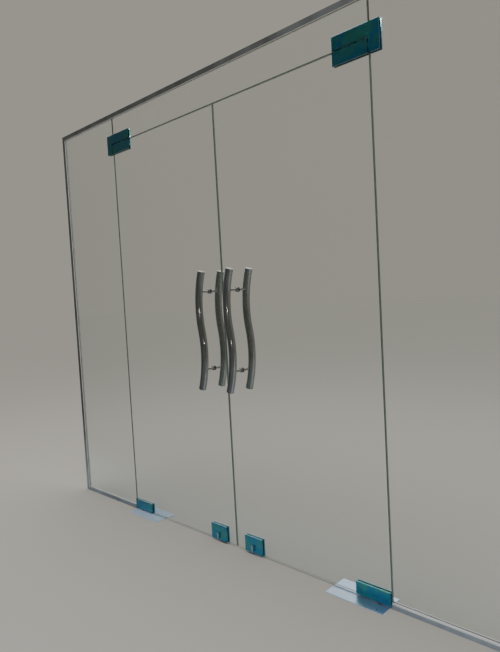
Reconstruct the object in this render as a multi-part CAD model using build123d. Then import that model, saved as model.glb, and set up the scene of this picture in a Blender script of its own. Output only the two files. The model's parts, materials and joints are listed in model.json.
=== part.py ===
from build123d import *
import os

# A frameless shop front of toughened glass: two double-action doors under an overpanel,
# between two fixed side lights. The fixed panes stand in aluminium U-channels. Each door
# turns on a floor spring below and on a pin above, held in patch fittings that clamp
# the glass, and is locked by a corner lock that throws a bolt into the floor.
#
# Frame: X runs along the front, Y into the shop, Z up. The origin is on the middle plane
# of the glass, midway between the doors, at finished floor level. Everything that comes
# as a pair is drawn for the right-hand door (+X) and mirrored, apart from the pull
# handles, which lean the same way on both doors.

# Driving dimensions, in millimetres
overall_width = 3010
overall_height = 2440
glass_thickness = 12
joint_x = 900               # middle of the joint between a door and its side light
joint_gap = 4               # between panes, beside and above a door
meeting_gap = 6             # between the two doors
door_bottom = 8
door_top = 2255
fixed_glass_top = 2430
arris = 0.8                 # ground edge of every pane

channel_size = 25           # U-channel, outside width and depth
channel_wall = 2.5
channel_hole_r = 3

pivot_setback = 65          # from joint_x to the axis the door turns on
patch_length = 166
patch_height = 56
frame_leg = 48              # width of the angled patch's leg beside the joint
patch_half = 16             # from the middle of the glass to the face of a cover
gasket = 1.5
cover_wall = 1.5
cover_bevel = 2.5           # sloped rim of a cover
clamp_slack = 0.1           # between a clamp plate and the cover pressed over it
notch_length = 129          # corner cut-out of the glass inside a patch
notch_height = 32
notch_r = 10

lock_centre = 127           # distance of the lock's middle from the meeting line
lock_length = 118
lock_height = 82
lock_notch = (96, 54)
bolt_offset = 27            # from the lock's middle towards the meeting line
bolt_throw = 20

handle_x = 103.5            # distance of a handle from the meeting line
handle_z = 1130
handle_height = 600
handle_centres = 400
handle_reach = 70           # from the middle of the glass to the bar's axis
handle_lean = 21            # sideways offset of the bar's ends
handle_sagitta = 20         # bulge of each of the bar's two arcs
bar_r = 19
bar_wall = 1.5

floor_plate = (280, 148, 2)
floor_box_depth = 50
spindle_r = 10
pin_r = 7.5

# Worked out from the dimensions above
half_glass = glass_thickness / 2
pane_edge = joint_x + joint_gap / 2          # free edge of a side light
door_edge = joint_x - joint_gap / 2          # pivot edge of a door
pivot_x = joint_x - pivot_setback
overpanel_bottom = door_top + joint_gap
jamb_rim = overall_width / 2 - channel_size
head_rim = overall_height - channel_size
clamp_y = half_glass + gasket                # inner face of a clamp plate
cover_gap = patch_half - cover_wall          # inner face of a cover
inner_bevel = cover_bevel - (2 - 2 ** 0.5) * cover_wall    # keeps the wall as thick at the bevel
patch_end = door_edge - 1
patch_start = patch_end - patch_length
lock_x0 = lock_centre - lock_length / 2
lock_x1 = lock_centre + lock_length / 2
bolt_x = lock_centre - bolt_offset


def block(x0, x1, y0, y1, z0, z1):
    """Box between two corners."""
    return Pos((x0 + x1) / 2, (y0 + y1) / 2, (z0 + z1) / 2) * Box(x1 - x0, y1 - y0, z1 - z0)


def rect(x0, x1, z0, z1, radius=0):
    """Outline in the plane of the glass, with rounded corners if a radius is given."""
    shape = RectangleRounded(x1 - x0, z1 - z0, radius) if radius else Rectangle(x1 - x0, z1 - z0)
    return Pos((x0 + x1) / 2, (z0 + z1) / 2) * shape


def slab(outline, y0, y1):
    """Solid of an outline drawn in the plane of the glass, between two depths."""
    return Pos(0, y1, 0) * extrude(Plane.XZ * outline, amount=y1 - y0)


def inset(outline, distance):
    """Outline drawn smaller all round, with sharp corners."""
    return offset(outline, amount=-distance, kind=Kind.INTERSECTION)


def rod(x, y, z0, z1, radius):
    """Upright cylinder between two heights."""
    return Pos(x, y, (z0 + z1) / 2) * Cylinder(radius, z1 - z0)


def through(x, z, y0, y1, radius):
    """Cylinder square to the glass, between two depths."""
    return Pos(x, (y0 + y1) / 2, z) * Rot(90, 0, 0) * Cylinder(radius, y1 - y0)


def flip(shape):
    """The same piece on the other side of the glass."""
    return mirror(shape, about=Plane.XZ)


def other_end(shape):
    """A fitting of the door's bottom corner, turned over for its top corner."""
    return mirror(shape, about=Plane.XY.offset((door_bottom + door_top) / 2))


def left(shape):
    """The left-hand piece of a pair."""
    return mirror(shape, about=Plane.YZ)


# Panes

# A notch runs this far past the edge it opens on
notch_past = 30


def door_notch():
    """Cut-out of the door's bottom pivot corner, open below and at the side."""
    return rect(door_edge - notch_length, door_edge + notch_past,
                door_bottom - notch_past, door_bottom + notch_height, notch_r)


def lock_cutout():
    """Cut-out in the door's bottom edge that the lock case fills."""
    half, height = lock_notch[0] / 2, lock_notch[1]
    return rect(lock_centre - half, lock_centre + half,
                door_bottom - notch_past, door_bottom + height, notch_r)


def frame_notch():
    """Cut-out over the overpanel's lower corner and the side light's edge."""
    return rect(door_edge - notch_length, pane_edge + notch_height,
                overpanel_bottom - notch_past, overpanel_bottom + notch_height, notch_r)


def pane(outline):
    """Glass of this outline, with every edge ground off."""
    solid = slab(outline, -half_glass, half_glass)
    rims = solid.faces().filter_by(Axis.Y).edges()
    return chamfer(rims, arris)


def door_glass():
    """Right-hand door, notched for its patches and lock and bored for the handles."""
    outline = rect(meeting_gap / 2, door_edge, door_bottom, door_top)
    lower = door_notch()
    upper = Pos(0, door_top + door_bottom) * mirror(lower, about=Plane.XZ)
    outline -= lower + upper + lock_cutout()
    for end in (-1, 1):
        outline -= Pos(handle_x, handle_z + end * handle_centres / 2) * Circle(glass_hole_r)
    return pane(outline)


def side_glass():
    """Right-hand side light, from its sill channel to the head channel."""
    outer_edge = overall_width / 2 - channel_wall - edge_room
    outline = rect(pane_edge, outer_edge, door_bottom, fixed_glass_top)
    window = rect(pane_edge - notch_past, pane_edge + notch_height,
                  overpanel_bottom, overpanel_bottom + notch_height, notch_r)
    return pane(outline - window)


def overpanel_glass():
    """Pane above both doors, with a notch in each lower corner."""
    notch = frame_notch()
    outline = rect(-door_edge, door_edge, overpanel_bottom, fixed_glass_top)
    return pane(outline - notch - mirror(notch, about=Plane.YZ))


# Glazing channels

edge_room = 5               # free room beyond a pane's edge in its channel
gasket_depth = 12
bead = 1                    # how far a glazing gasket stands out of its channel
block_length = 80
head_holes = (1350, 750, 250)    # from the middle of the head
jamb_holes = (1000, 400)         # from the middle of a jamb
sill_hole = 200                  # from the middle of a sill


def channel(length, holes):
    """U-channel along X, its open side up, centred on X, with fixing holes in its web."""
    half = channel_size / 2
    profile = rect(-half, half, 0, channel_size)
    profile -= rect(-half + channel_wall, half - channel_wall, channel_wall, channel_size)
    solid = Pos(-length / 2, 0, 0) * extrude(Plane.YZ * profile, amount=length)
    for x in holes:
        solid -= rod(x, 0, 0, channel_wall, channel_hole_r)
    return solid


def head_channel():
    length = overall_width
    solid = channel(length, [s * x for x in head_holes for s in (-1, 1)])
    return Pos(0, 0, overall_height) * Rot(180, 0, 0) * solid


def jamb_channel():
    solid = channel(head_rim, [s * z for z in jamb_holes for s in (-1, 1)])
    return Pos(overall_width / 2, 0, head_rim / 2) * Rot(0, -90, 0) * solid


def sill_channel():
    length = jamb_rim - pane_edge
    solid = channel(length, [-sill_hole, sill_hole])
    return Pos((jamb_rim + pane_edge) / 2, 0, 0) * solid


def gasket_strip(length):
    """Wedge gasket along X for a channel that opens upwards, its bead rounded off."""
    y0, y1 = half_glass, channel_size / 2 - channel_wall
    top = channel_size + bead
    outline = Polygon((y0, top), (y0, channel_size - gasket_depth),
                      (y1, channel_size - gasket_depth), (y1, channel_size),
                      (y1 - bead, top), align=None)
    return Pos(-length / 2, 0, 0) * extrude(Plane.YZ * outline, amount=length)


def glazing_gaskets():
    """Gaskets on both sides of the glass, in the head, the jambs and the sills."""
    side = jamb_rim - pane_edge
    upright = head_rim - channel_size
    head = Pos(0, 0, overall_height) * Rot(180, 0, 0) * gasket_strip(2 * jamb_rim)
    sill = Pos((jamb_rim + pane_edge) / 2, 0, 0) * gasket_strip(side)
    jamb = Pos(overall_width / 2, 0, (head_rim + channel_size) / 2)
    jamb = jamb * Rot(0, -90, 0) * gasket_strip(upright)
    strips = [head, sill, left(sill), jamb, left(jamb)]
    return [piece for strip in strips for piece in (strip, flip(strip))]


def setting_blocks():
    """Packers that carry the side lights, two in each sill."""
    pieces = []
    for x in (pane_edge + block_length, jamb_rim - block_length):
        packer = block(x - block_length / 2, x + block_length / 2,
                       -half_glass, half_glass, channel_wall, door_bottom)
        pieces += [packer, left(packer)]
    return pieces


def silicone_joints():
    """Seals between the overpanel and the side lights, above the patches."""
    seal = block(door_edge, pane_edge, -half_glass + arris, half_glass - arris,
                 overpanel_bottom + patch_height, head_rim)
    return [seal, left(seal)]


# Patch fittings

insert_size = (46, 18, 24)
pin_head = (36, 16, 10)
screw_r = 3
screw_head_r = 6
screw_clearance = 0.05
boss_room = 1               # between a clamp's boss and the notch in the glass
pin_seat_z = overpanel_bottom + 12
pin_drop = 20               # how far the pin reaches down past the top of the door
tip_chamfer = 1.5
drive_z = (door_bottom - 2, door_bottom + 18)
drive_side = (14, 12)       # across the flats of the spindle's tapered end, at its foot and top


def door_patch_outline():
    return rect(patch_start, patch_end, door_bottom, door_bottom + patch_height)


def frame_patch_outline():
    """Outline of the angled patch that joins the overpanel to the side light."""
    top = overpanel_bottom + patch_height
    bar = rect(patch_start, pane_edge + frame_leg, overpanel_bottom, top)
    leg = rect(pane_edge, pane_edge + frame_leg, door_top - patch_height, top)
    return bar + leg


def bevelled_slab(outline, depth, bevel):
    """Plate from the glass out to a depth, with a sloped rim."""
    solid = slab(outline, clamp_y, depth)
    return chamfer(solid.faces().sort_by(Axis.Y)[-1].edges(), bevel)


def cover(outline):
    """Pressed stainless cover for the shop side: a shallow tray with a bevelled rim."""
    inside = bevelled_slab(inset(outline, cover_wall), cover_gap, inner_bevel)
    return bevelled_slab(outline, patch_half, cover_bevel) - inside


def clamp_plate(outline):
    """Plate that presses on the glass, the cover's own thickness smaller all round."""
    return bevelled_slab(inset(outline, cover_wall + clamp_slack), cover_gap, inner_bevel)


def screw_hole(x, z, countersunk):
    """Hole for a clamping screw through one half of a fitting."""
    hole = through(x, z, 0, cover_gap, screw_r)
    if countersunk:
        depth = screw_head_r - screw_r
        cone = Rot(90, 0, 0) * Cone(screw_head_r, screw_r, depth)
        hole += Pos(x, cover_gap - depth / 2, z) * cone
    return hole


def screw(x, z):
    """Countersunk screw, its head on the street side."""
    radius = screw_r - screw_clearance
    depth = screw_head_r - screw_r
    shank = through(x, z, -cover_gap, cover_gap - 1, radius)
    head = Pos(x, -cover_gap + depth / 2, z) * Rot(90, 0, 0) * Cone(radius, screw_head_r, depth)
    socket = Plane(origin=(x, -cover_gap, z), x_dir=(1, 0, 0), z_dir=(0, 1, 0))
    hexagon = extrude(socket * RegularPolygon(screw_r * 0.7, 6), amount=depth)
    return shank + head - hexagon


def halves(outline, boss, pocket, screws):
    """Both clamp plates of a fitting, with the bosses that meet inside the glass."""
    pieces = []
    for countersunk in (False, True):
        half = clamp_plate(outline) + slab(boss, 0, clamp_y)
        half -= pocket
        for x, z in screws:
            half -= screw_hole(x, z, countersunk)
        pieces.append(flip(half) if countersunk else half)
    return pieces


door_screws = [(pivot_x + x, door_bottom + 17) for x in (-50, 45)]
frame_screws = [(x, overpanel_bottom + 16) for x in (pivot_x - 50, pivot_x + 37, pane_edge + 18)]


def door_boss():
    """Part of a door patch that fills the notch in the glass."""
    trim = cover_wall + clamp_slack
    room = rect(door_edge - notch_length + boss_room, patch_end - trim,
                door_bottom + trim, door_bottom + notch_height - boss_room)
    corner = room.vertices().sort_by(Axis.X)[:2].sort_by(Axis.Y)[-1]
    return fillet(corner, notch_r)


def door_patch_halves():
    """Clamp of a door's bottom patch, with a pocket for the insert the spindle drives."""
    length, width, height = insert_size
    pocket = block(pivot_x - length / 2, pivot_x + length / 2, -width / 2, width / 2,
                   door_bottom, door_bottom + cover_wall + clamp_slack + height)
    return halves(door_patch_outline(), door_boss(), pocket, door_screws)


def frame_boss():
    """Bar of the angled patch that fills both notches and ties the two panes."""
    trim = cover_wall + clamp_slack
    room = rect(door_edge - notch_length + boss_room, pane_edge + notch_height - boss_room,
                overpanel_bottom + trim, overpanel_bottom + notch_height - boss_room)
    outer = room.vertices().group_by(Axis.X)[-1]
    inner = room.vertices().group_by(Axis.X)[0].sort_by(Axis.Y)[-1:]
    return fillet(outer + inner, notch_r)


def frame_patch_halves():
    """Clamp of the angled patch, with the seat that holds the pivot pin."""
    length, width, height = pin_head
    seat = block(pivot_x - length / 2, pivot_x + length / 2, -width / 2, width / 2,
                 pin_seat_z, pin_seat_z + height)
    seat += rod(pivot_x, 0, overpanel_bottom, pin_seat_z, pin_r + screw_clearance)
    return halves(frame_patch_outline(), frame_boss(), seat, frame_screws)


def pivot_pin():
    """Steel pin with a square-cut head, hanging from the angled patch."""
    length, width, height = pin_head
    slack = clamp_slack
    head = block(pivot_x - length / 2 + slack, pivot_x + length / 2 - slack,
                 -width / 2 + slack, width / 2 - slack, pin_seat_z, pin_seat_z + height - slack)
    shank = rod(pivot_x, 0, door_top - pin_drop, pin_seat_z, pin_r)
    tip = shank.faces().sort_by(Axis.Z)[0].edges()
    return chamfer(tip, tip_chamfer) + head


def insert_block():
    """Block that fits the pocket of a door's bottom patch."""
    length, width, height = insert_size
    slack = clamp_slack
    floor = door_bottom + cover_wall
    return block(pivot_x - length / 2 + slack, pivot_x + length / 2 - slack,
                 -width / 2 + slack, width / 2 - slack, floor, floor + height)


def square_taper(z0, z1, side0, side1):
    """Tapered square peg, its corners cut off."""
    ends = []
    for z, side in ((z0, side0), (z1, side1)):
        ends.append(Pos(pivot_x, 0, z) * chamfer(Rectangle(side, side).vertices(), tip_chamfer))
    return loft(ends)


def spindle_insert():
    """Steel insert with the tapered square socket that the spindle drives."""
    low, high = drive_z
    wide, narrow = drive_side
    slack = 2 * clamp_slack
    return insert_block() - square_taper(low, high + slack, wide + slack, narrow + slack)


def closer_spindle():
    """Spindle of the floor spring, with its tapered square end."""
    low, high = drive_z
    journal = rod(pivot_x, 0, spindle_foot, low, spindle_r)
    return journal + square_taper(low, high, *drive_side)


def pivot_bush():
    """Nylon bush in the door's top patch that turns on the pin."""
    return other_end(insert_block()) - rod(pivot_x, 0, 0, door_top, pin_r + screw_clearance)


def patch_gasket(outline, boss):
    """Fibre pad between a clamp plate and the glass."""
    outline = inset(outline, cover_wall + 1) - offset(boss, amount=boss_room, kind=Kind.INTERSECTION)
    return slab(outline, half_glass, clamp_y)


# Corner lock

keyhole_z = 41.5            # height of the plug's axis
profile_r = 8.5
profile_leg = 10
profile_height = 33
cylinder_half = 25
plug_r = 6.5
cam_r = 13.5
cam_half = 4.5
bolt_r = 6
bolt_room = 0.35
carriage = (92.5, 112, 4.4)  # channel of the bolt's carriage: low X, high X, half depth
carriage_height = 20
carriage_slack = 0.4
case_floor = 14
lock_screw_side = 7         # from the side of the cut-out to a screw
lock_screw_z = (20, 50)
keyway = (1.4, 8.5, 16)     # width, height and depth
strike_plate = (50, 28, 2)
strike_pocket = (17, 15)    # opening for the bolt, along the front and across it
strike_depth = 24
strike_screws = (bolt_x - 17.5, bolt_x + 17.5)


def lock_outline():
    return rect(lock_x0, lock_x1, door_bottom, door_bottom + lock_height)


def profile(grow=0):
    """Profile of the lock cylinder: a round barrel with a narrow leg below."""
    leg_r = profile_leg / 2 + grow
    low = keyhole_z + profile_r - profile_height - grow
    barrel = Pos(lock_centre, keyhole_z) * Circle(profile_r + grow)
    leg = rect(lock_centre - leg_r, lock_centre + leg_r, low + leg_r, keyhole_z)
    return barrel + leg + Pos(lock_centre, low + leg_r) * Circle(leg_r)


def lock_boss():
    """Part of the lock case that fills the cut-out in the glass."""
    half, height = lock_notch[0] / 2 - boss_room, lock_notch[1] - boss_room
    room = rect(lock_centre - half, lock_centre + half,
                door_bottom + cover_wall + clamp_slack, door_bottom + height)
    return fillet(room.vertices().group_by(Axis.Y)[-1], notch_r)


def lock_screws():
    """Places of the four screws, beside the mechanism."""
    side = lock_notch[0] / 2 - lock_screw_side
    return [(lock_centre + s * side, z) for s in (-1, 1) for z in lock_screw_z]


def lock_cavity():
    """Room inside the case for the cylinder, its cam, and the bolt with its carriage."""
    low, high, depth = carriage
    room = slab(profile(0.1), -cover_gap, cover_gap)
    room += through(lock_centre, keyhole_z, -cam_half - 0.7, cam_half + 0.7, cam_r + 1)
    room += block(low, high, -depth, depth, case_floor, case_floor + 2 * carriage_height + 3)
    rod_top = case_floor + carriage_height + 3
    return room + rod(bolt_x, 0, door_bottom, rod_top, bolt_r + bolt_room)


def lock_case():
    """Both halves of the lock case."""
    return halves(lock_outline(), lock_boss(), lock_cavity(), lock_screws())


def lock_cover():
    """Cover of the lock, with an opening for the cylinder."""
    return cover(lock_outline()) - slab(profile(0.3), cover_gap - 1, patch_half + 1)


def lock_cylinder():
    """Cylinder body, bored for the plug and slotted across the middle for the cam."""
    body = slab(profile(), -cylinder_half, cylinder_half)
    body -= through(lock_centre, keyhole_z, -cylinder_half, cylinder_half,
                    plug_r + screw_clearance)
    slot_half = cam_half + 0.5
    slot_floor = keyhole_z - cam_r - 1
    return body - block(lock_centre - profile_r, lock_centre + profile_r,
                        -slot_half, slot_half, slot_floor, keyhole_z + profile_r)


def lock_plug():
    """Plug with a keyway at each end and the cam at its middle, pointing down."""
    plug = through(lock_centre, keyhole_z, -cylinder_half, cylinder_half, plug_r)
    cam = Circle(profile_r) + Pos(0, -cam_r / 2) * Rectangle(8, cam_r)
    cam = cam & Circle(cam_r)
    plug += slab(Pos(lock_centre, keyhole_z) * cam, -cam_half, cam_half)
    width, height, depth = keyway
    slit = block(lock_centre - width / 2, lock_centre + width / 2, cylinder_half - depth,
                 cylinder_half, keyhole_z - height / 2, keyhole_z + height / 2)
    return plug - slit - flip(slit)


def lock_bolt():
    """Round bolt with the flat carriage that the cam lifts and drops."""
    low, high, depth = carriage
    base = case_floor + carriage_height + 1
    shank = rod(bolt_x, 0, door_bottom + 1, base, bolt_r)
    tip = shank.faces().sort_by(Axis.Z)[0].edges()
    slack = carriage_slack
    slide = block(low + slack, high - slack, slack - depth, depth - slack, base, base + carriage_height)
    return chamfer(tip, 1) + slide


def floor_socket():
    """Strike plate with a box under it, flush with the floor, which takes the bolt."""
    length, width, thickness = strike_plate
    half_x, half_y = strike_pocket[0] / 2, strike_pocket[1] / 2
    outer_x, outer_y = half_x + box_wall, half_y + box_wall
    plate = extrude(Pos(bolt_x, 0) * RectangleRounded(length, width, 3), amount=-thickness)
    solid = plate + block(bolt_x - outer_x, bolt_x + outer_x, -outer_y, outer_y, -strike_depth, 0)
    solid -= block(bolt_x - half_x, bolt_x + half_x, -half_y, half_y, box_wall - strike_depth, 0)
    for x in strike_screws:
        solid -= Pos(x, 0, -thickness / 2) * Cone(plate_screw_r, plate_head_r, thickness)
    return solid


# Pull handles

glass_hole_r = 7
stud_r = 4
post_r = 6
post_foot_r = 12
post_foot = 4
cap_thickness = 2.5
cap_spigot = 8
stud_half = 28


def bar_axis(x, y):
    """Axis of a handle: two arcs that bulge opposite ways and meet at its middle."""
    rise, lean = handle_height / 2, handle_lean
    chord = (rise * rise + lean * lean) ** 0.5
    bulge_x = lean / 2 - handle_sagitta * rise / chord
    bulge_z = rise / 2 + handle_sagitta * lean / chord
    middle_point = (x, y, handle_z)
    lower = ThreePointArc((x - lean, y, handle_z - rise),
                          (x - bulge_x, y, handle_z - bulge_z), middle_point)
    upper = ThreePointArc(middle_point, (x + bulge_x, y, handle_z + bulge_z),
                          (x + lean, y, handle_z + rise))
    return Wire([lower, upper])


def bar(x, y, section):
    """A section carried along the whole of a handle's axis."""
    axis = bar_axis(x, y)
    start = Plane(origin=axis @ 0, z_dir=axis % 0)
    return sweep(start * section, path=axis)


def handle_bar(x, y):
    """S-shaped round tube."""
    return bar(x, y, Circle(bar_r) - Circle(bar_r - bar_wall))


def handle_caps(x, y):
    """Bevelled plug for each end of a tube."""
    axis = bar_axis(x, y)
    pieces = []
    for place, outward in ((0, -1), (1, 1)):
        seat = Plane(origin=axis @ place, z_dir=(axis % place) * outward)
        disc = extrude(seat * Circle(bar_r), amount=cap_thickness)
        face = disc.faces().sort_by(Axis(seat.origin, seat.z_dir))[-1]
        disc = chamfer(face.edges(), 1)
        spigot = extrude(seat * Circle(bar_r - bar_wall - screw_clearance), amount=-cap_spigot)
        pieces.append(disc + spigot)
    return pieces


def handle_post(x, z, tube):
    """Turned post from the glass to the bar, its end cut to fit round the tube."""
    foot = clamp_y
    outline = Polygon((0, foot), (post_foot_r, foot), (post_foot_r, foot + post_foot),
                      (post_r, foot + 2 * post_foot), (post_r, handle_reach), (0, handle_reach),
                      align=None)
    turned = Pos(x, 0, z) * revolve(outline, Axis.Y)
    return turned - tube - through(x, z, foot, stud_half, stud_r)


def handle_set(x):
    """Both bars of one door with their caps, posts, studs, washers and bushes."""
    solid_tube = bar(x, handle_reach, Circle(bar_r + screw_clearance))
    inner, outer = handle_bar(x, handle_reach), handle_bar(x, -handle_reach)
    caps = handle_caps(x, handle_reach) + handle_caps(x, -handle_reach)
    posts, studs, seals = [], [], []
    for end in (-1, 1):
        z = handle_z + end * handle_centres / 2
        post = handle_post(x, z, solid_tube)
        posts += [post, flip(post)]
        studs.append(through(x, z, -stud_half + 1, stud_half - 1, stud_r - screw_clearance))
        bore = through(x, z, -clamp_y, clamp_y, stud_r)
        washer = through(x, z, half_glass, clamp_y, post_foot_r) - bore
        bush = through(x, z, -half_glass, half_glass, glass_hole_r - clamp_slack) - bore
        seals += [washer, flip(washer), bush]
    return outer, inner, caps, posts, studs, seals


# Floor springs

box_wall = 1.5
box_margin = 4              # how far the plate oversails the box
plate_x1 = pivot_x + 56
plate_x0 = plate_x1 - floor_plate[0]
plate_screws = [(x, y) for x in (plate_x0 + 35, plate_x1 - 35) for y in (-56, 56)]
plate_screw_r = 2.5
plate_head_r = 4.5
plate_hole_r = 16
plate_screw_length = 16
pillar_r = 6
pilot_depth = 20
slot_half = 0.6
spindle_foot = -40
closer_case = (232, 96, 30)
closer_lid = (212, 76, 3)
closer_feet = (168, 128, 4)
closer_boss_r = 20
closer_valve = (44, 18, 6)  # from the plate's end, from its middle line, and radius


def plate_outline():
    length, width, _ = floor_plate
    return Pos(plate_x0 + length / 2, 0) * RectangleRounded(length, width, 3)


def floor_cover_plate():
    """Steel plate over the floor spring, with a hole round the spindle."""
    thickness = floor_plate[2]
    solid = extrude(plate_outline(), amount=thickness)
    solid = chamfer(solid.faces().sort_by(Axis.Z)[-1].edges(), thickness / 2)
    solid -= rod(pivot_x, 0, 0, thickness, plate_hole_r)
    for x, y in plate_screws:
        solid -= Pos(x, y, thickness / 2) * Cone(plate_screw_r, plate_head_r, thickness)
    return solid


def floor_box():
    """Open steel box that is set in the floor, with a pillar for each plate screw."""
    length, width = floor_plate[0] - 2 * box_margin, floor_plate[1] - 2 * box_margin
    centre = Pos(plate_x0 + floor_plate[0] / 2, 0, -floor_box_depth)
    solid = centre * extrude(RectangleRounded(length, width, 6), amount=floor_box_depth)
    hollow = RectangleRounded(length - 2 * box_wall, width - 2 * box_wall, 4.5)
    solid -= centre * Pos(0, 0, box_wall) * extrude(hollow, amount=floor_box_depth)
    for x, y in plate_screws:
        solid += rod(x, y, -floor_box_depth, 0, pillar_r)
        solid -= rod(x, y, -pilot_depth, 0, plate_screw_r)
    return solid


def closer_body():
    """Cast body of the floor spring: spring chamber, lid, spindle boss and two valves."""
    foot = -floor_box_depth + box_wall + 2
    centre = Pos(plate_x0 + floor_plate[0] / 2, 0, foot)
    length, width, height = closer_case
    solid = centre * extrude(RectangleRounded(length, width, 14), amount=height)
    solid = chamfer(solid.faces().sort_by(Axis.Z)[-1].edges(), 3)
    for (length, width, thickness), z in ((closer_lid, height), (closer_feet, 0)):
        solid += Pos(0, 0, z) * centre * extrude(RectangleRounded(length, width, 8), amount=thickness)
    lid_z = foot + height
    solid += rod(pivot_x, 0, lid_z, -6, closer_boss_r)
    from_end, side, radius = closer_valve
    for y in (-side, side):
        solid += rod(plate_x0 + from_end, y, lid_z, lid_z + 6, radius)
    return solid - rod(pivot_x, 0, spindle_foot, 0, spindle_r + screw_clearance)


def plate_screw(x, y, top):
    """Countersunk slotted screw, its head flush with a plate whose upper face is at this height."""
    thickness = floor_plate[2]
    radius = plate_screw_r - screw_clearance
    head = Pos(x, y, top - thickness / 2) * Cone(radius, plate_head_r - screw_clearance, thickness)
    slot = block(x - plate_head_r, x + plate_head_r, y - slot_half, y + slot_half,
                 top - thickness / 2, top)
    return head + rod(x, y, top - plate_screw_length, top - thickness, radius) - slot


# Every node, by name

def gather():
    """All the pieces, as a list of solids under each name."""
    nodes = {
        "head_channel": [head_channel()],
        "glazing_gaskets": glazing_gaskets(),
        "setting_blocks": setting_blocks(),
        "overpanel_glass": [overpanel_glass()],
        "silicone_joints": silicone_joints(),
    }

    frame_outline, door_outline = frame_patch_outline(), door_patch_outline()
    frame_pad = patch_gasket(frame_outline, frame_boss())
    door_pad = patch_gasket(door_outline, door_boss())
    lock_pad = patch_gasket(lock_outline(), lock_boss())
    frame_cover, door_cover = cover(frame_outline), cover(door_outline)
    clamp = door_patch_halves()
    pads = [door_pad, other_end(door_pad), lock_pad]
    lower_screws = [screw(x, z) for x, z in door_screws]

    pairs = {
        "jamb_channel": [jamb_channel()],
        "sill_channel": [sill_channel()],
        "side_glass": [side_glass()],
        "frame_patch_clamp": frame_patch_halves(),
        "frame_patch_covers": [frame_cover, flip(frame_cover)],
        "floor_cover_plate": [floor_cover_plate()],
        "door_glass": [door_glass()],
        "door_top_patch_clamp": [other_end(half) for half in clamp],
        "door_bottom_patch_clamp": clamp,
        "door_patch_covers": [piece for one in (door_cover, other_end(door_cover))
                              for piece in (one, flip(one))],
        "pivot_bush": [pivot_bush()],
        "spindle_insert": [spindle_insert()],
        "closer_spindle": [closer_spindle()],
        "lock_case": lock_case(),
        "lock_covers": [lock_cover(), flip(lock_cover())],
        "lock_cylinder": [lock_cylinder()],
        "lock_plug": [lock_plug()],
        "lock_bolt": [lock_bolt()],
        "door_gaskets": [piece for pad in pads for piece in (pad, flip(pad))],
        "door_screws": (lower_screws + [other_end(one) for one in lower_screws]
                        + [screw(x, z) for x, z in lock_screws()]),
    }
    for name, solids in pairs.items():
        nodes["right_" + name] = solids
        nodes["left_" + name] = [left(solid) for solid in solids]

    for side, x in (("left_", -handle_x), ("right_", handle_x)):
        outer, inner, caps, posts, studs, seals = handle_set(x)
        nodes[side + "outer_handle"] = [outer]
        nodes[side + "inner_handle"] = [inner]
        nodes[side + "handle_caps"] = caps
        nodes[side + "handle_posts"] = posts
        nodes[side + "door_screws"] += studs
        nodes[side + "door_gaskets"] += seals

    shared = {
        "pivot_pins": [pivot_pin()],
        "frame_patch_gaskets": [frame_pad, flip(frame_pad)],
        "frame_patch_screws": [screw(x, z) for x, z in frame_screws],
        "floor_boxes": [floor_box()],
        "closer_bodies": [closer_body()],
        "floor_plate_screws": ([plate_screw(x, y, floor_plate[2]) for x, y in plate_screws]
                               + [plate_screw(x, 0, 0) for x in strike_screws]),
        "lock_floor_sockets": [floor_socket()],
    }
    for name, solids in shared.items():
        nodes[name] = solids + [left(solid) for solid in solids]
    return nodes


os.makedirs("parts", exist_ok=True)
for node, solids in gather().items():
    bodies = [solid for shape in solids for solid in shape.solids()]
    shape = bodies[0] if len(bodies) == 1 else Compound(children=bodies)
    shape.label = node
    export_step(shape, f"parts/{node}.step")
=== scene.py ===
import json
import math
import bpy
from mathutils import Matrix, Vector


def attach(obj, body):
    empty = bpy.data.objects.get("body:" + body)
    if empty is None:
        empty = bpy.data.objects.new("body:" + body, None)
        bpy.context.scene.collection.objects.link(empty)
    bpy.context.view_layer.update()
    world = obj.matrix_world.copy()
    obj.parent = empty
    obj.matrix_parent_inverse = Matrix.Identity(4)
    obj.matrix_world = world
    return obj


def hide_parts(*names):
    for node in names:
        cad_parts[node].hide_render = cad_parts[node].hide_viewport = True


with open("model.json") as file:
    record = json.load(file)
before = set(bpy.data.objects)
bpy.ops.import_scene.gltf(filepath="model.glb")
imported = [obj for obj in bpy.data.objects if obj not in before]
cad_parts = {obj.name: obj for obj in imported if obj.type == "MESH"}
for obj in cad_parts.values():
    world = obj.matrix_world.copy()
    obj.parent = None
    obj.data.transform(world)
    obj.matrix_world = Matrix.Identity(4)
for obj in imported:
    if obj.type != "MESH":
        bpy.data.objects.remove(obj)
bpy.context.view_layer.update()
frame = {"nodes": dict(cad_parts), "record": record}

record = frame["record"]
nodes = frame["nodes"]

# Camera: where the photograph was taken from, in metres and degrees
CAMERA_PLACE = Vector((2.0668, -1.9322, 1.2960))
CAMERA_YAW = math.radians(44.41)      # to the left of straight into the shop
CAMERA_PITCH = math.radians(-3.115)
CAMERA_ROLL = math.radians(-3.17)
FOCAL_PIXELS = 557.5                  # focal length in pixels of the photograph
IMAGE_LONG_SIDE = 652                 # pixels
SENSOR = 36.0                         # millimetres

# Floor and backdrop
FLOOR_Z = -0.0006                     # just below the sills and the floor plates
FLOOR_RADIUS = 60.0
FLOOR_SIDES = 64
FLOOR_COLOUR = (0.66, 0.635, 0.585)
ROOM_LIGHT = (0.52, 0.51, 0.49)       # soft light from all round
BACKDROP = (0.345, 0.325, 0.285)      # what is seen behind and through the glass

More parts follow.
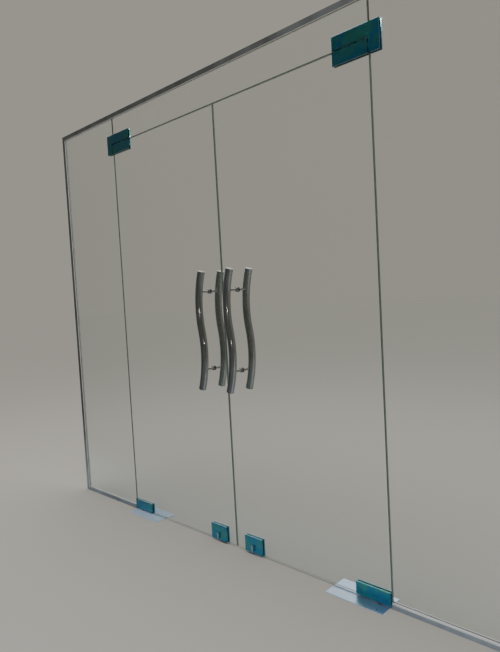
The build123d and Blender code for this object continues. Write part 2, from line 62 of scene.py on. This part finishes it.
# The ground as polished surfaces see it, in painted light: a painted pool of street light by the glass with
# a painted bluish sky reflection in it, and painted shade out in the street and to the left. Each pair is
# where a change starts and ends, in metres
DARK_STREET = (0.19, 0.21, 0.22)
LIT_STREET = (0.60, 0.73, 0.86)
SHOP_FLOOR = (0.46, 0.45, 0.41)
STREET_DEPTH = (-0.9, -0.12)          # along Y, from the painted shade of the far street to the painted pool of street light
SHOP_DEPTH = (0.0, 1.0)               # along Y, from street to shop floor
STREET_WIDTH = (-1.0, 0.3)            # along X, from painted shade to full street light
LEFT_PAINTED_SHADE = 0.7

# The surroundings as polished surfaces see them. Each pair is where a change starts and ends, in
# parts of a direction of length 1
STREET_COLOUR = (0.098, 0.102, 0.094)
SKY_COLOUR = (0.52, 0.57, 0.63)
SHOP_COLOUR = (1.0, 0.98, 0.93)
OVERHEAD_COLOUR = (0.44, 0.46, 0.47)
SHOP_STRENGTH = (0.23, 1.35)          # low or on the right, then high and on the left
SHOP_SIDE = (-0.12, 0.22)             # along Y, from street to shop
SHOP_HEIGHT = (0.10, 0.34)            # along Z, from dim to bright shop
SHOP_WIDTH = (-0.2, 0.25)             # along X, from bright to dim shop
SKY_EDGE = (0.44, 0.52)               # along Z, from street to sky
ROOF_WIDTH = (-0.8, -0.5)             # along X, from high roofs to low ones
ROOF_RISE = 0.24                      # the sky starts this much higher over the high roofs
OVERHEAD = (0.80, 0.97)               # along Z, from all round to straight up
ONE_BOUNCE = 0.5                      # a ray's depth is above this once it has bounced

# Lights: places, sizes and radii in metres, powers in watts
CEILING_PLACE = (0.0, -0.3, 4.6)
CEILING_TARGET = (0, 0, 0)
CEILING_SIZE = (6, 5)
CEILING_POWER = 85
STREET_LAMP = {"place": (2.5, -2.4, 1.24), "radius": 0.03, "power": 6}
RIGHT_SHOP_LAMP = {"place": (1.39, 0.73, 2.70), "radius": 0.025, "power": 2}
LEFT_SHOP_LAMP = {"radius": 0.008, "power": 0.3}
LEFT_SHOP_LAMP_PLACES = [(0.48, 0.845, height) for height in (2.63, 2.69, 2.75)]

# Finishes
SCUFF_REACH = 0.7                     # along X, a scuffed pair of plates is dusty left and fresh right
FRESH_METALLIC = 0.95
SMUDGED = 0.86                        # how much of its colour brushed metal keeps under a smudge
FILM_SHIFT = (1.71, 0.0, 0.83)        # where the film's blotches fall on the fittings
SILL_HIGHLIGHT_RISE = (0.017, 0.020)            # along Z, from the sill's face to the painted highlight on its upper edge
SILL_TOP = (0.026, 0.030)             # along Z, from the sill to the jamb above it
SILL_RIGHT = (0.80, 1.00)             # along X, from the plain left sill to the right one with the painted highlight
# metallic of the sill's painted highlight
HIGHLIGHT_METALLIC = 0.1

# Gaskets
HALF_GLASS = 0.006
SEAT_AIR = 0.0002                     # between a glazing gasket and the glass, so that light reaches it

# Sockets of a mix node that mixes colours
FIRST_COLOUR = 6
SECOND_COLOUR = 7
MIXED_COLOUR = 2


def make_camera():
    """Camera turned about its own axes: yaw, then pitch, then roll."""
    ahead = Vector((-math.sin(CAMERA_YAW) * math.cos(CAMERA_PITCH),
                    math.cos(CAMERA_YAW) * math.cos(CAMERA_PITCH), math.sin(CAMERA_PITCH)))
    level = Vector((math.cos(CAMERA_YAW), math.sin(CAMERA_YAW), 0))
    above = level.cross(ahead)
    right = math.cos(CAMERA_ROLL) * level + math.sin(CAMERA_ROLL) * above
    up = math.cos(CAMERA_ROLL) * above - math.sin(CAMERA_ROLL) * level
    data = bpy.data.cameras.new("camera")
    data.sensor_width = SENSOR
    data.lens = FOCAL_PIXELS * SENSOR / IMAGE_LONG_SIDE
    camera = bpy.data.objects.new("camera", data)
    turned = Matrix((right, up, -ahead)).transposed().to_4x4()
    camera.matrix_world = Matrix.Translation(CAMERA_PLACE) @ turned
    bpy.context.collection.objects.link(camera)
    bpy.context.scene.camera = camera


class NodeTree:
    """A node tree, with short calls to add and link its nodes."""

    def __init__(self, tree):
        self.tree = tree

    def node(self, kind, inputs=None, **settings):
        made = self.tree.nodes.new(kind)
        for key, value in settings.items():
            setattr(made, key, value)
        for key, value in (inputs or {}).items():
            self.feed(made.inputs[key], value)
        return made

    def feed(self, socket, value):
        """Links an output, or sets a constant."""
        if isinstance(value, bpy.types.NodeSocket):
            self.tree.links.new(value, socket)
        elif isinstance(value, tuple) and len(value) == 3 and socket.type == "RGBA":
            socket.default_value = (*value, 1.0)
        else:
            socket.default_value = value

    def ramp(self, value, low, high, out_low=0.0, out_high=1.0, smooth=False):
        """Goes from out_low to out_high while the value goes from low to high."""
        made = self.node("ShaderNodeMapRange", {"Value": value, "From Min": low, "From Max": high,
                                                "To Min": out_low, "To Max": out_high})
        if smooth:
            made.interpolation_type = "SMOOTHSTEP"
        return made.outputs["Result"]

    def mix(self, factor, first, second):
        made = self.node("ShaderNodeMix", data_type="RGBA")
        self.feed(made.inputs["Factor"], factor)
        self.feed(made.inputs[FIRST_COLOUR], first)
        self.feed(made.inputs[SECOND_COLOUR], second)
        return made.outputs[MIXED_COLOUR]

    def maths(self, operation, *values):
        made = self.node("ShaderNodeMath", operation=operation)
        for socket, value in zip(made.inputs, values):
            self.feed(socket, value)
        return made.outputs["Value"]

    def scaled(self, colour, amount):
        """A colour times a number."""
        made = self.node("ShaderNodeVectorMath", operation="SCALE")
        self.feed(made.inputs[0], colour)
        self.feed(made.inputs["Scale"], amount)
        return made.outputs["Vector"]


class Shader(NodeTree):
    """A material that is made of the principled shader and textures in the object's own metres."""

    def __init__(self, name):
        self.material = bpy.data.materials.new(name)
        self.material.use_nodes = True
        super().__init__(self.material.node_tree)
        self.principled = self.tree.nodes["Principled BSDF"]
        self.output = self.tree.nodes["Material Output"]

    def surface(self, **inputs):
        """Feeds the principled shader's sockets, named with _ for a space."""
        for key, value in inputs.items():
            self.feed(self.principled.inputs[key.replace("_", " ")], value)
        return self.material

    def place(self, scale=(1, 1, 1), shift=(0, 0, 0)):
        """Object coordinates, stretched by a scale and then shifted."""
        coordinates = self.node("ShaderNodeTexCoord")
        mapping = self.node("ShaderNodeMapping", {"Vector": coordinates.outputs["Object"], "Scale": scale,
                                                  "Location": shift})
        return mapping.outputs["Vector"]

    def axes(self):
        """X, Y and Z of the object coordinates."""
        parts = self.node("ShaderNodeSeparateXYZ", {"Vector": self.place()})
        return parts.outputs["X"], parts.outputs["Y"], parts.outputs["Z"]

    def noise(self, scale, detail, roughness=0.5, stretch=(1, 1, 1), distortion=0.0, shift=(0, 0, 0)):
        made = self.node("ShaderNodeTexNoise", {"Vector": self.place(stretch, shift), "Scale": scale,
                                                "Detail": detail, "Roughness": roughness,
                                                "Distortion": distortion})
        return made.outputs["Fac"]

    def bump(self, height, strength, distance):
        made = self.node("ShaderNodeBump", {"Height": height, "Strength": strength, "Distance": distance})
        return made.outputs["Normal"]

    def normal_axis(self, axis):
        """How squarely a face looks along an axis of the object: 0 to 1."""
        coordinates = self.node("ShaderNodeTexCoord")
        parts = self.node("ShaderNodeSeparateXYZ", {"Vector": coordinates.outputs["Normal"]})
        return self.maths("ABSOLUTE", parts.outputs[axis])


def glass():
    """Clear float glass: polished faces with faint smears and roller waves, darker ground edges."""
    edge_colour = (0.28, 0.38, 0.33)
    face_colour = (0.98, 0.99, 0.98)
    body_colour = (0.50, 0.80, 0.68)
    shader = Shader("toughened_glass")
    face = shader.ramp(shader.normal_axis("Y"), 0.85, 0.95)
    smear = shader.noise(2.2, 5, 0.62, stretch=(1, 1, 0.55), distortion=0.6)
    polish = shader.ramp(smear, 0.5, 0.75, 0.0, 0.03)
    ground = shader.ramp(shader.noise(260, 2), 0.3, 0.7, 0.30, 0.42)
    rough = shader.maths("ADD", shader.maths("MULTIPLY", face, polish),
                         shader.maths("MULTIPLY", shader.maths("SUBTRACT", 1.0, face), ground))
    wave = shader.noise(3.0, 1, 0.4, stretch=(0.35, 1, 1.6))
    shader.surface(Base_Color=shader.mix(face, edge_colour, face_colour), Roughness=rough, IOR=1.5,
                   Transmission_Weight=shader.ramp(face, 0, 1, 0.25, 1.0),
                   Normal=shader.bump(wave, 0.05, 0.002))
    absorb = shader.node("ShaderNodeVolumeAbsorption", {"Color": body_colour, "Density": 5.0})
    shader.tree.links.new(absorb.outputs["Volume"], shader.output.inputs["Volume"])
    return shader.material


def aluminium():
    """Mill-finish extrusion: die lines along it, and dull blotches.

    The right-hand sill's upper edge carries a painted highlight: a near-white colour with little metal in
    it."""
    dark = (0.42, 0.405, 0.395)
    light = (0.62, 0.60, 0.585)
    bright = (0.93, 0.97, 1.0)
    shader = Shader("aluminium_channel")
    across, _, height = shader.axes()
    # painted highlight: a near-white band along the right-hand sill's upper edge, standing for the lamps'
    # glint there
    edge = shader.maths("MULTIPLY", shader.ramp(height, *SILL_HIGHLIGHT_RISE),
                        shader.ramp(height, *SILL_TOP, 1.0, 0.0))
    edge = shader.maths("MULTIPLY", edge, shader.ramp(across, *SILL_RIGHT))
    die = shader.noise(900, 2, stretch=(0.004, 1, 0.004))
    dull = shader.noise(7, 4, 0.6)
    rough = shader.maths("ADD", shader.ramp(dull, 0.3, 0.7, 0.24, 0.38),
                         shader.ramp(die, 0.3, 0.7, 0.0, 0.08))
    colour = shader.mix(shader.ramp(dull, 0.35, 0.7), dark, light)
    return shader.surface(Base_Color=shader.mix(edge, colour, bright),
                          Metallic=shader.ramp(edge, 0, 1, 1.0, HIGHLIGHT_METALLIC), Roughness=rough,
                          Normal=shader.bump(die, 0.12, 0.0002))


def film():
    """Stainless pressing under a blue-green protective film that has fine wrinkles."""
    blue = (0.018, 0.205, 0.40)
    green = (0.026, 0.29, 0.25)
    pale = (0.06, 0.36, 0.44)
    shader = Shader("filmed_stainless")
    blotch = shader.noise(15, 3, 0.6, distortion=0.8, shift=FILM_SHIFT)
    fleck = shader.noise(70, 3, 0.6)
    wrinkle = shader.noise(34, 4, 0.55, stretch=(0.45, 1, 1.3), distortion=1.6)
    teal = shader.mix(shader.ramp(blotch, 0.38, 0.62), blue, green)
    teal = shader.mix(shader.ramp(fleck, 0.52, 0.80), teal, pale)
    return shader.surface(Base_Color=teal, Metallic=0.94,
                          Roughness=shader.ramp(wrinkle, 0.3, 0.7, 0.14, 0.28),
                          Coat_Weight=1.0, Coat_Roughness=0.05, Coat_IOR=1.5,
                          Normal=shader.bump(wrinkle, 0.25, 0.0006))


def brushed(name, colour, stretch, rough_low, rough_high, depth, scuff=0.0):
    """Metal brushed along one axis, with faint smudges.

    A scuff puts dust on the left-hand piece of a pair: 0 is none, 0.5 hides the metal."""
    shader = Shader(name)
    grain = shader.noise(1400, 2, stretch=stretch)
    smudge = shader.noise(18, 4, 0.6)
    smudged = tuple(SMUDGED * channel for channel in colour)
    shade = shader.mix(shader.ramp(smudge, 0.3, 0.75), smudged, colour)
    rough = shader.maths("ADD", shader.ramp(smudge, 0.3, 0.7, rough_low, rough_high),
                         shader.ramp(grain, 0.3, 0.7, 0.0, 0.08))
    metallic = 1.0
    if scuff:
        across, _, _ = shader.axes()
        rough = shader.maths("ADD", rough, shader.ramp(across, -SCUFF_REACH, SCUFF_REACH, scuff, 0.0))
        metallic = shader.ramp(across, -SCUFF_REACH, SCUFF_REACH, 1 - 2 * scuff, FRESH_METALLIC)
    return shader.surface(Base_Color=shade, Metallic=metallic, Roughness=rough,
                          Normal=shader.bump(grain, depth, 0.0002))


def polished():
    """Polished tube with finger marks and fine lines round it. Faces that look up or down, as on its end
    plugs, are darker.
    """
    dark = (0.42, 0.41, 0.395)
    light = (0.56, 0.55, 0.535)
    plug = (0.25, 0.25, 0.24)
    shader = Shader("polished_stainless")
    mark = shader.noise(26, 5, 0.62, distortion=0.5)
    line = shader.noise(1200, 2, stretch=(0.05, 0.05, 1))
    colour = shader.mix(shader.ramp(mark, 0.3, 0.75), dark, light)
    colour = shader.mix(shader.ramp(shader.normal_axis("Z"), 0.80, 0.93), colour, plug)
    return shader.surface(Base_Color=colour, Metallic=1.0,
                          Roughness=shader.ramp(mark, 0.35, 0.75, 0.06, 0.16),
                          Normal=shader.bump(line, 0.05, 0.0002))


def moulded(name, low, high, scale, rough_low, rough_high, depth=0.1, metallic=0.0, transmission=0.0):
    """Moulded, cast or plated surface: two shades in specks, and a grain six times as fine."""
    shader = Shader(name)
    speck = shader.noise(scale, 4, 0.6)
    grain = shader.noise(scale * 6, 3, 0.6)
    shade = shader.mix(shader.ramp(speck, 0.32, 0.68), low, high)
    return shader.surface(Base_Color=shade, Roughness=shader.ramp(grain, 0.3, 0.7, rough_low, rough_high),
                          Metallic=metallic, Transmission_Weight=transmission,
                          Normal=shader.bump(grain, depth, 0.0003))


materials = {
    "toughened_glass": glass(),
    "aluminium_channel": aluminium(),
    "filmed_stainless": film(),
    "polished_stainless": polished(),
    # Its blue tint is a painted sky reflection. Where the scuff's real dust takes away the metal on the
    # left plate, the tint shows as a painted blue-white sheen.
    "brushed_stainless": brushed("brushed_stainless", (0.62, 0.79, 1.0), (0.01, 1, 1), 0.26, 0.44,
                                 depth=0.12, scuff=0.42),
    "machined_steel": brushed("machined_steel", (0.46, 0.46, 0.46), (1, 1, 0.03), 0.22, 0.34, depth=0.1),
    "glazing_rubber": moulded("glazing_rubber", (0.88, 0.90, 0.91), (0.96, 0.97, 0.98), 60, 0.25, 0.4),
    "packer_plastic": moulded("packer_plastic", (0.50, 0.48, 0.42), (0.62, 0.60, 0.53), 50, 0.4, 0.55),
    "nylon": moulded("nylon", (0.68, 0.67, 0.62), (0.80, 0.79, 0.75), 80, 0.35, 0.5),
    "silicone": moulded("silicone", (0.74, 0.80, 0.76), (0.84, 0.88, 0.85), 40, 0.16, 0.3,
                        transmission=0.85),
    "fibre_gasket": moulded("fibre_gasket", (0.11, 0.12, 0.12), (0.17, 0.18, 0.175), 220, 0.6, 0.8,
                            depth=0.3),
    "cast_clamp": moulded("cast_clamp", (0.32, 0.33, 0.335), (0.44, 0.45, 0.455), 90, 0.35, 0.55,
                          depth=0.25, metallic=0.85),
    "zinc_sheet": moulded("zinc_sheet", (0.42, 0.44, 0.47), (0.60, 0.61, 0.60), 35, 0.3, 0.45,
                          depth=0.05, metallic=0.9),
    "cast_iron": moulded("cast_iron", (0.11, 0.12, 0.125), (0.19, 0.20, 0.205), 120, 0.45, 0.65,
                         depth=0.4, metallic=0.2),
    "zinc_screws": moulded("zinc_screws", (0.48, 0.49, 0.50), (0.64, 0.65, 0.62), 160, 0.25, 0.4,
                           depth=0.05, metallic=1.0),
    "stainless_screws": moulded("stainless_screws", (0.46, 0.47, 0.49), (0.60, 0.61, 0.63), 200, 0.22, 0.36,
                                depth=0.05, metallic=1.0),
    "nickel_brass": moulded("nickel_brass", (0.36, 0.44, 0.45), (0.46, 0.55, 0.56), 120, 0.18, 0.3,
                            depth=0.04, metallic=1.0),
}


def dress_nodes():
    """Gives each CAD node the material of its slot in the record."""
    for part in record["subparts"]:
        node = nodes[part["node"]]
        finish = materials[part["material_slot"]]
        if not node.material_slots:
            node.data.materials.append(finish)
        for holder in node.material_slots:
            holder.material = finish


def seat_glazing_gaskets():
    """The glazing gaskets again, a hair's breadth off the glass that they press on."""
    mesh = nodes["glazing_gaskets"].data.copy()
    for vertex in mesh.vertices:
        if abs(vertex.co.y) < HALF_GLASS + SEAT_AIR:
            vertex.co.y = math.copysign(HALF_GLASS + SEAT_AIR, vertex.co.y)
    piece = bpy.data.objects.new("seated_glazing_gaskets", mesh)
    bpy.context.collection.objects.link(piece)
    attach(piece, "frame")
    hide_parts("glazing_gaskets")


def make_floor():
    """Pale matt floor that reaches the horizon. Polished surfaces see painted light on it: a lit street by
    the glass with a painted bluish sky reflection, and painted shade out in the street and to the left.
    """
    angles = [2 * math.pi * side / FLOOR_SIDES for side in range(FLOOR_SIDES)]
    points = [(FLOOR_RADIUS * math.cos(a), FLOOR_RADIUS * math.sin(a), FLOOR_Z) for a in angles]
    mesh = bpy.data.meshes.new("floor")
    mesh.from_pydata(points, [], [range(FLOOR_SIDES)])
    floor = bpy.data.objects.new("floor", mesh)
    bpy.context.collection.objects.link(floor)
    shader = Shader("floor")
    width, depth, _ = shader.axes()
    path = shader.node("ShaderNodeLightPath")
    mirrored = shader.maths("GREATER_THAN", path.outputs["Glossy Depth"], ONE_BOUNCE)
    # painted light that only polished surfaces see: a lit, sky-tinted street by the glass, with painted
    # shade further out and to the left
    street = shader.mix(shader.ramp(depth, *STREET_DEPTH, smooth=True), DARK_STREET, LIT_STREET)
    street = shader.scaled(street, shader.ramp(width, *STREET_WIDTH, LEFT_PAINTED_SHADE, 1.0))
    ground = shader.mix(shader.ramp(depth, *SHOP_DEPTH, smooth=True), street, SHOP_FLOOR)
    colour = shader.mix(mirrored, FLOOR_COLOUR, ground)
    mesh.materials.append(shader.surface(Base_Color=colour, Roughness=1.0, Specular_IOR_Level=0.0))


def make_world():
    """Even soft light, a plain backdrop, and softly lit surroundings for polished surfaces.

    Polished surfaces see a dim street on -Y and a lit shop on +Y, brightest up on the left."""
    world = bpy.data.worlds.new("world")
    bpy.context.scene.world = world
    world.use_nodes = True
    tree = NodeTree(world.node_tree)
    coordinates = tree.node("ShaderNodeTexCoord")
    parts = tree.node("ShaderNodeSeparateXYZ", {"Vector": coordinates.outputs["Generated"]})
    x, y, z = parts.outputs["X"], parts.outputs["Y"], parts.outputs["Z"]
    shop_side = tree.ramp(y, *SHOP_SIDE, smooth=True)
    wall = tree.maths("MULTIPLY", tree.ramp(z, *SHOP_HEIGHT, smooth=True),
                      tree.ramp(x, *SHOP_WIDTH, 1.0, 0.0, smooth=True))
    shop = tree.scaled(SHOP_COLOUR, tree.ramp(wall, 0, 1, *SHOP_STRENGTH))
    skyline = tree.maths("ADD", z, tree.ramp(x, *ROOF_WIDTH, -ROOF_RISE, 0.0))
    street = tree.mix(tree.ramp(skyline, *SKY_EDGE, smooth=True), STREET_COLOUR, SKY_COLOUR)
    seen = tree.mix(shop_side, street, shop)
    seen = tree.mix(tree.ramp(z, *OVERHEAD, smooth=True), seen, OVERHEAD_COLOUR)
    path = tree.node("ShaderNodeLightPath")
    scattered = tree.maths("GREATER_THAN", path.outputs["Diffuse Depth"], ONE_BOUNCE)
    bounces = tree.maths("ADD", path.outputs["Diffuse Depth"], path.outputs["Glossy Depth"])
    direct = tree.maths("LESS_THAN", bounces, ONE_BOUNCE)
    colour = tree.mix(direct, tree.mix(scattered, seen, ROOM_LIGHT), BACKDROP)
    background = world.node_tree.nodes["Background"]
    tree.feed(background.inputs["Color"], colour)
    world.cycles.sampling_method = "NONE"


def area_light(name, place, target, size, power):
    """Soft light that is not itself seen, neither through the glass nor in reflections."""
    data = bpy.data.lights.new(name, "AREA")
    data.shape = "RECTANGLE"
    data.size, data.size_y = size
    data.energy = power
    light = bpy.data.objects.new(name, data)
    light.location = place
    light.rotation_mode = "QUATERNION"
    light.rotation_quaternion = (Vector(target) - Vector(place)).to_track_quat("-Z", "Y")
    light.visible_camera = False
    light.visible_glossy = False
    light.visible_transmission = False
    bpy.context.collection.objects.link(light)


def lamp(name, place, radius, power):
    """Small lamp that shows as a bright dot in polished surfaces."""
    data = bpy.data.lights.new(name, "POINT")
    data.shadow_soft_size = radius
    data.energy = power
    light = bpy.data.objects.new(name, data)
    light.location = place
    light.visible_camera = False
    light.visible_transmission = False
    bpy.context.collection.objects.link(light)


make_camera()
make_floor()
make_world()
area_light("ceiling", CEILING_PLACE, CEILING_TARGET, CEILING_SIZE, CEILING_POWER)
lamp("street_lamp", **STREET_LAMP)
lamp("shop_lamp_right", **RIGHT_SHOP_LAMP)
for number, place in enumerate(LEFT_SHOP_LAMP_PLACES):
    lamp(f"shop_lamp_left_{number}", place, **LEFT_SHOP_LAMP)
dress_nodes()
seat_glazing_gaskets()
